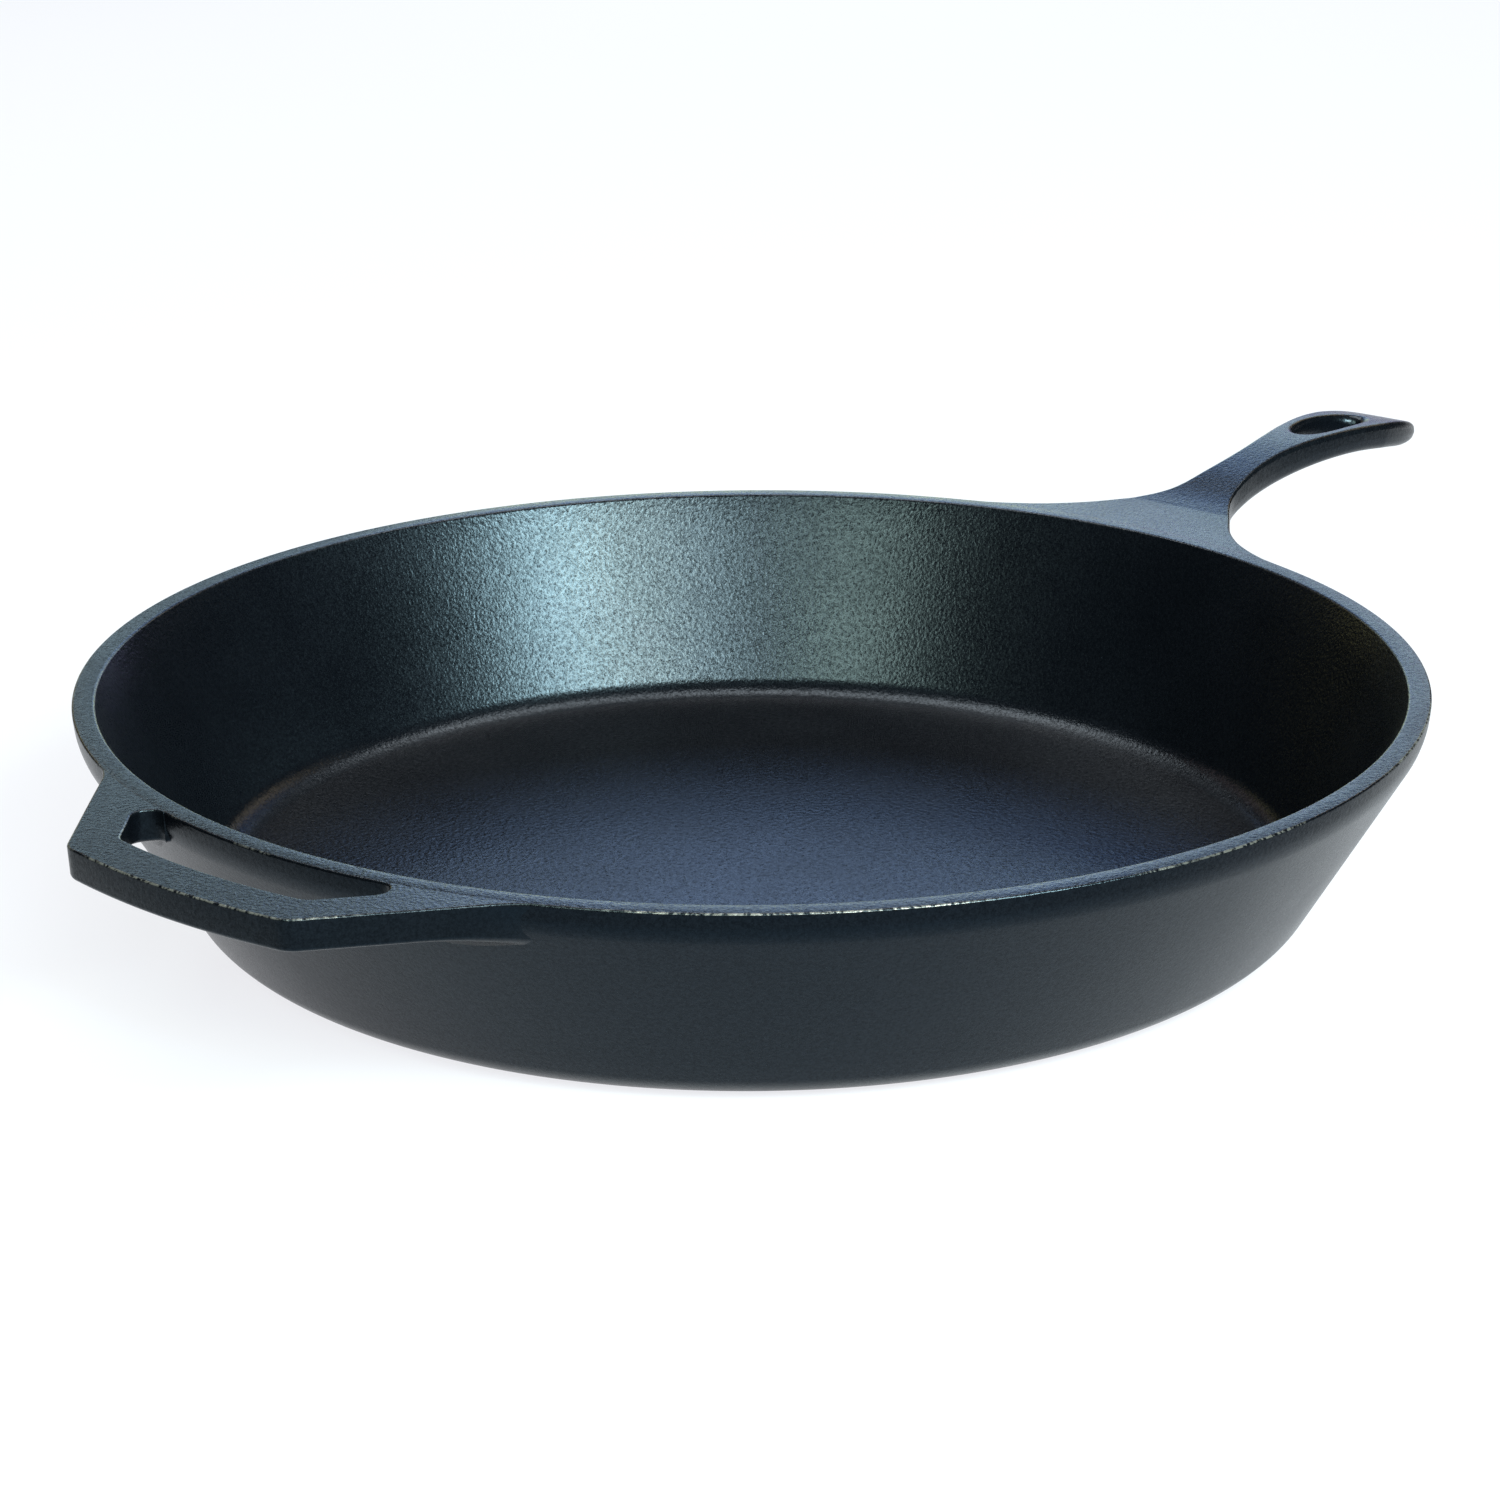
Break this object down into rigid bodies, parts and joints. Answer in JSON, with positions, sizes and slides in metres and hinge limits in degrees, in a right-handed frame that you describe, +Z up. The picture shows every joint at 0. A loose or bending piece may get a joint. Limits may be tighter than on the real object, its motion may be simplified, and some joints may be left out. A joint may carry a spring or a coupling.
{
  "type": "cast iron skillet",
  "caption": "Large round cast iron skillet with flared walls, a long arched main handle with a hanging hole, and a short slotted helper handle opposite it.",
  "frame": {"origin": "centre of the pan's flat underside, on the surface it stands on", "axes": "+Z up, +X along the main handle towards its tip, -X along the helper handle, the pan symmetrical about the XZ plane"},
  "size_m": [0.5882, 0.3874, 0.0756],
  "materials": {
    "cooking_surface": "seasoned black, semi-gloss over a fine sand-cast grain, a little smoother than the outside",
    "pan_iron": "seasoned black, satin over a fine sand-cast grain",
    "handle_iron": "seasoned black, satin over a fine sand-cast grain, edges slightly paler"
  },
  "bodies": {
    "root": {"pan_floor": "cooking_surface", "heel_ring": "pan_iron", "side_wall": "pan_iron", "rim_band": "pan_iron", "helper_bar": "handle_iron", "helper_arm_left": "handle_iron", "helper_arm_right": "handle_iron", "handle_root": "handle_iron", "handle_shaft": "handle_iron", "handle_end": "handle_iron"}
  },
  "joints": []
}
